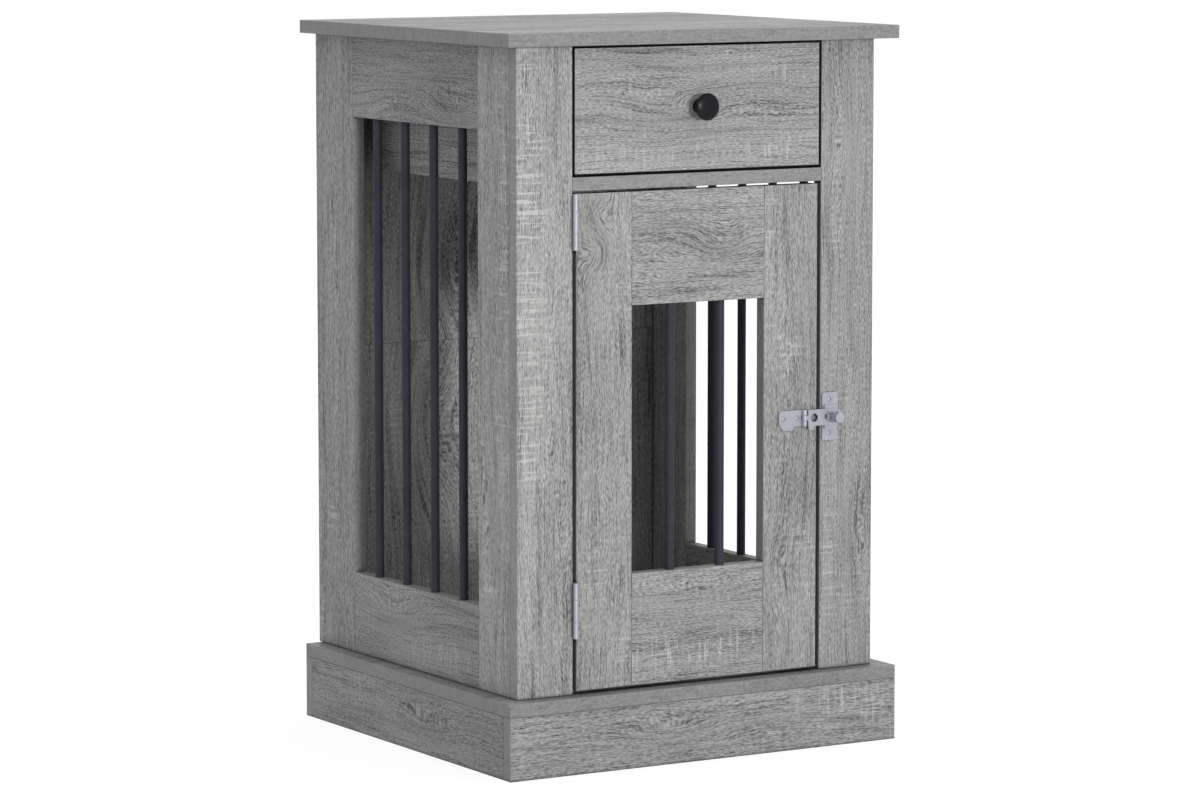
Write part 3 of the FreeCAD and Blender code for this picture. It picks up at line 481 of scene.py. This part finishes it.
for node_name, finish in FINISHES.items():
    mesh = nodes[node_name].data
    mesh.materials.clear()
    mesh.materials.append(finish)
    mesh.polygons.foreach_set("use_smooth", [True] * len(mesh.polygons))
    mesh.set_sharp_from_angle(angle=ROUND_ANGLE)


# ---------------------------------------------------------------- screws and knob


def turned(name, outline, finish, steps, dent=None):
    """A closed mesh turned about its Z axis from pairs of radius and height in mm."""
    shape = bmesh.new()
    rings = []
    for radius, height in outline:
        ring = []
        for step in range(steps if radius > 0 else 1):
            angle = math.tau * step / steps
            x = radius * math.cos(angle)
            y = radius * math.sin(angle)
            z = height - dent(x, y) if dent and height > 0 else height
            ring.append(shape.verts.new((x * MM, y * MM, z * MM)))
        rings.append(ring)
    for first, second in zip(rings[:-1], rings[1:]):
        for step in range(steps):
            following = (step + 1) % steps
            if len(first) == 1:
                corners = (first[0], second[step], second[following])
            elif len(second) == 1:
                corners = (first[step], second[0], first[following])
            else:
                corners = (first[step], second[step], second[following], first[following])
            shape.faces.new(corners)
    bmesh.ops.recalc_face_normals(shape, faces=shape.faces)
    mesh = bpy.data.meshes.new(name)
    shape.to_mesh(mesh)
    shape.free()
    mesh.polygons.foreach_set("use_smooth", [True] * len(mesh.polygons))
    mesh.set_sharp_from_angle(angle=ROUND_ANGLE)
    mesh.materials.append(finish)
    return mesh


def show(name, mesh, place, facing, body):
    """Stand a mesh at a place in mm, its Z axis along the way it faces, on a body."""
    piece = bpy.data.objects.new(name, mesh)
    bpy.context.scene.collection.objects.link(piece)
    piece.location = Vector(place) * MM
    piece.rotation_euler = Vector(facing).to_track_quat("Z", "Y").to_euler()
    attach(piece, body)
    return piece


# A screw's head, in mm: the arms of its cross recess with the widths over which they fade, and
# how far its foot is sunk into what it holds. The rim is a share of the head's rise.
RECESS_DEPTH = 0.7
ARM_LENGTH = 1.35
ARM_END = 0.5
ARM_HALF_WIDTH = 0.36
ARM_WALL = 0.3
HEAD_SUNK = 0.2
HEAD_RIM = 0.3

# Rings of a screw's dome, and steps round the axis of the turned meshes.
HEAD_RINGS = 16
HEAD_STEPS = 48
KNOB_STEPS = 96


def soft_step(distance, width):
    """0 to 1 across a width centred on no distance."""
    return min(max(distance / width + 0.5, 0.0), 1.0)


def cross_recess(x, y):
    """Depth in mm of a screw's cross recess at a point of its head."""
    arms = [
        soft_step(ARM_LENGTH - abs(along), ARM_END) * soft_step(ARM_HALF_WIDTH - abs(across), ARM_WALL)
        for along, across in ((x, y), (y, x))
    ]
    return RECESS_DEPTH * max(arms)


def screw_head(name, radius, rise, finish):
    """A low domed head with a cross recess, its foot sunk a little into what it holds."""
    outline = []
    for ring in range(HEAD_RINGS + 1):
        out = ring / HEAD_RINGS
        dome = (1 - HEAD_RIM) * math.sqrt(1 - out * out)
        outline.append((radius * out, rise * (HEAD_RIM + dome)))
    outline += [(radius, -HEAD_SUNK), (0, -HEAD_SUNK)]
    return turned(name, outline, finish, HEAD_STEPS, cross_recess)


def lowest(name, axis):
    """The lowest coordinate of a CAD piece along an axis, in mm."""
    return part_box(name)[0][AXES[axis]] / MM


def highest(name, axis):
    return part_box(name)[1][AXES[axis]] / MM


def centre(name, axis):
    return (lowest(name, axis) + highest(name, axis)) / 2


def farthest(name):
    """How far a CAD piece reaches to the side from the middle plane, in mm."""
    return max(abs(lowest(name, "x")), abs(highest(name, "x")))


# Places of screws and thicknesses of what they hold, in mm.
LATCH_PLATE = 1.2
HASP_SCREWS = (93.2, 108.3)
STAPLE_SCREWS = (-16, 16)
HINGE_SCREWS = (8.5, 25.5, 42.5)
HINGE_LEAF = 0.8
HINGE_SCREW_DEPTH = 5
RUNNER_SCREWS = (45, 150, 265)
RUNNER_SHEET = 1
DRAWER_RUNNER_SCREW_RISE = 4.5


def add_latch_screws():
    """Two screws in the hasp leaf and two in the staple plate."""
    head = screw_head("latch_screw", 2.7, 0.9, screw_steel)
    face = lowest("door_latch_stile", "y") - LATCH_PLATE
    height = centre("staple_plate", "z")
    for index, x in enumerate(HASP_SCREWS):
        show(f"hasp_screw_{index + 1}", head, (x, face, height), (0, -1, 0), "door")
    across = centre("staple_plate", "x")
    for index, offset in enumerate(STAPLE_SCREWS):
        place = (across, face, height + offset)
        show(f"staple_screw_{index + 1}", head, place, (0, -1, 0), "cabinet")


def add_hinge_screws():
    """Three screws in each leaf, seen when the door is open."""
    head = screw_head("hinge_screw", 2.3, 0.3, zinc)
    for level in ("lower", "upper"):
        pin = centre(f"{level}_hinge_pin", "x")
        foot = lowest(f"{level}_hinge_pin", "z")
        back = highest(f"{level}_hinge_frame_leaf", "y") - HINGE_SCREW_DEPTH
        for index, offset in enumerate(HINGE_SCREWS):
            name = f"{level}_hinge_screw_{index + 1}"
            frame_place = (pin - HINGE_LEAF, back, foot + offset)
            door_place = (pin + HINGE_LEAF, back, foot + offset)
            show(f"{name}_frame", head, frame_place, (1, 0, 0), "cabinet")
            show(f"{name}_door", head, door_place, (-1, 0, 0), "door")


def add_runner_screws():
    """Three screws through the web of each runner."""
    head = screw_head("runner_screw", 2.6, 0.7, runner_coat)
    flat_head = screw_head("drawer_runner_screw", 2.6, 0.45, runner_coat)
    for side, sign in (("left", -1), ("right", 1)):
        channel = f"{side}_cabinet_runner"
        front = lowest(channel, "y")
        height = centre(channel, "z")
        channel_web = farthest(channel) - RUNNER_SHEET
        drawer_web = farthest(f"drawer_{side}_side") + RUNNER_SHEET
        for index, offset in enumerate(RUNNER_SCREWS):
            number = index + 1
            place = (sign * channel_web, front + offset, height)
            show(f"{channel}_screw_{number}", head, place, (-sign, 0, 0), "cabinet")
            place = (sign * drawer_web, front + offset, height + DRAWER_RUNNER_SCREW_RISE)
            show(f"{side}_drawer_runner_screw_{number}", flat_head, place, (sign, 0, 0), "drawer")


def add_drawer_knob():
    """A turned knob with a flared neck and a soft rim, and its screw inside the drawer."""
    face = highest("drawer_knob", "y")
    reach = face - lowest("drawer_knob", "y")
    head = (highest("drawer_knob", "x") - lowest("drawer_knob", "x")) / 2
    # Foot and neck, flare, rim, and the domed face up to its middle.
    outline = [(0, 0), (6.4, 0), (6.4, 0.8), (6.0, 1.6), (5.8, 4.0), (5.9, 6.0), (6.3, 8.0)]
    outline += [(7.1, 9.8), (8.4, 11.2), (10.0, 12.1), (11.4, 12.7), (12.1, 13.4)]
    outline += [(head, 14.1), (head, reach - 3.4), (head - 0.2, reach - 2.7)]
    outline += [(head - 0.7, reach - 2.1), (head - 1.6, reach - 1.55), (9.5, reach - 1.1)]
    outline += [(8.0, reach - 0.75), (6.0, reach - 0.4), (4.0, reach - 0.17), (2.0, reach - 0.04)]
    outline += [(0, reach)]
    height = centre("drawer_knob", "z")
    mesh = turned("drawer_knob_turned", outline, knob_paint, KNOB_STEPS)
    knob = show("drawer_knob_turned", mesh, (0, face, height), (0, -1, 0), "drawer")
    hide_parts("drawer_knob")
    screw = screw_head("knob_screw", 4.0, 2.2, screw_steel)
    place = (0, highest("drawer_front", "y"), height)
    show("drawer_knob_screw", screw, place, (0, 1, 0), "drawer")


add_latch_screws()
add_hinge_screws()
add_runner_screws()
add_drawer_knob()

ROUNDED = {
    "hasp_leaf": 0.3,
    "hasp_strap": 0.3,
    "staple_plate": 0.3,
    "turn_knob": 0.5,
    "lower_hinge_frame_leaf": 0.2,
    "upper_hinge_frame_leaf": 0.2,
    "lower_hinge_door_leaf": 0.2,
    "upper_hinge_door_leaf": 0.2,
    "left_cabinet_runner": 0.2,
    "right_cabinet_runner": 0.2,
    "left_drawer_runner": 0.2,
    "right_drawer_runner": 0.2,
    "front_rollers": 0.5,
    "rear_rollers": 0.5,
}

for node_name, radius in ROUNDED.items():
    soften = nodes[node_name].modifiers.new("rounded edges", "BEVEL")
    soften.width = radius * MM
    soften.segments = 2
    soften.limit_method = "ANGLE"
    soften.angle_limit = ROUND_ANGLE
    soften.use_clamp_overlap = True


# ---------------------------------------------------------------- floor, light and camera

# Grey levels of the floor: as it lights the object, and as shade and glow where it is seen.
FLOOR_PAPER = grey(0.55)
FLOOR_SHADE = grey(0.45)
FLOOR_GLOW = grey(0.75)
FLOOR_REACH = 14.0

# Strength of the surround at the horizon and overhead, and the one lamp (degrees of softness).
HORIZON = 0.25
ZENITH = 0.85
SUN_FROM = (-0.06, -1.0, 0.04)
SUN_STRENGTH = 1.38
SUN_SOFTNESS = 12

# Camera: place in metres, heading from +Y towards +X and downward tilt in degrees, lens in mm.
CAMERA_PLACE = Vector((-2.3468, -3.9072, 0.8425))
CAMERA_HEADING = 31.045
CAMERA_TILT = 6.597
SENSOR = 36.0
LENS = 144.45


def seen_rays(tree):
    """1 for the rays that show a surface: from the camera, off gloss and through glass."""
    rays = tree.add("ShaderNodeLightPath").outputs
    mirrored = tree.math("MAXIMUM", rays["Is Glossy Ray"], rays["Is Transmission Ray"])
    return tree.math("MAXIMUM", rays["Is Camera Ray"], mirrored)


def make_stage():
    """A plain pale floor that is white to the camera and keeps the object's shadow."""
    mesh = bpy.data.meshes.new("floor")
    reach = FLOOR_REACH
    corners = [(-reach, -reach, 0), (reach, -reach, 0), (reach, reach, 0), (-reach, reach, 0)]
    mesh.from_pydata(corners, [], [(0, 1, 2, 3)])
    floor = bpy.data.objects.new("floor", mesh)
    bpy.context.scene.collection.objects.link(floor)
    material = bpy.data.materials.new("floor_white")
    material.use_nodes = True
    material.node_tree.nodes.clear()
    tree = Tree(material.node_tree)
    paper = tree.add("ShaderNodeBsdfDiffuse", {"Color": FLOOR_PAPER})
    shade = tree.add("ShaderNodeBsdfDiffuse", {"Color": FLOOR_SHADE})
    glow = tree.add("ShaderNodeEmission", {"Color": FLOOR_GLOW, "Strength": 1.0})
    bright = tree.add("ShaderNodeAddShader")
    tree.feed(bright.inputs[0], shade.outputs[0])
    tree.feed(bright.inputs[1], glow.outputs[0])
    mix = tree.add("ShaderNodeMixShader")
    tree.feed(mix.inputs[0], seen_rays(tree))
    tree.feed(mix.inputs[1], paper.outputs[0])
    tree.feed(mix.inputs[2], bright.outputs[0])
    output = tree.add("ShaderNodeOutputMaterial")
    tree.feed(output.inputs["Surface"], mix.outputs[0])
    mesh.materials.append(material)


def make_world(horizon, zenith):
    """A plain surround: white to the camera and to reflections, softer as light."""
    world = bpy.data.worlds.new("studio")
    bpy.context.scene.world = world
    world.use_nodes = True
    world.node_tree.nodes.clear()
    tree = Tree(world.node_tree)
    height = tree.split(tree.add("ShaderNodeTexCoord").outputs["Generated"])[2]
    level = tree.step(height, 0.0, 0.9, horizon, zenith)
    seen = seen_rays(tree)
    strength = tree.plus(level, tree.times(seen, tree.less(1.0, level)))
    back = tree.add("ShaderNodeBackground", {"Color": grey(1.0), "Strength": strength})
    output = tree.add("ShaderNodeOutputWorld")
    tree.feed(output.inputs["Surface"], back.outputs[0])


def aim(thing, place, target):
    """Stand a lamp or camera at a place and turn it towards a target."""
    thing.location = place
    thing.rotation_euler = (Vector(target) - Vector(place)).to_track_quat("-Z", "Y").to_euler()


def make_sun(name, direction, strength, softness):
    """A distant soft lamp that shines from a direction."""
    data = bpy.data.lights.new(name, "SUN")
    data.energy = strength
    data.angle = math.radians(softness)
    light = bpy.data.objects.new(name, data)
    bpy.context.scene.collection.objects.link(light)
    aim(light, direction, (0, 0, 0))


def make_camera():
    """The photograph's view: from the left of the front and a little above, with a long lens."""
    data = bpy.data.cameras.new("camera")
    data.sensor_width = SENSOR
    data.lens = LENS
    data.clip_end = 100.0
    camera = bpy.data.objects.new("camera", data)
    bpy.context.scene.collection.objects.link(camera)
    heading = math.radians(CAMERA_HEADING)
    drop = math.tan(math.radians(CAMERA_TILT))
    ahead = Vector((math.sin(heading), math.cos(heading), -drop))
    aim(camera, CAMERA_PLACE, CAMERA_PLACE + ahead)
    bpy.context.scene.camera = camera


make_stage()
make_world(HORIZON, ZENITH)
make_sun("front", SUN_FROM, SUN_STRENGTH, SUN_SOFTNESS)
make_camera()
bpy.context.scene.view_settings.view_transform = "Standard"
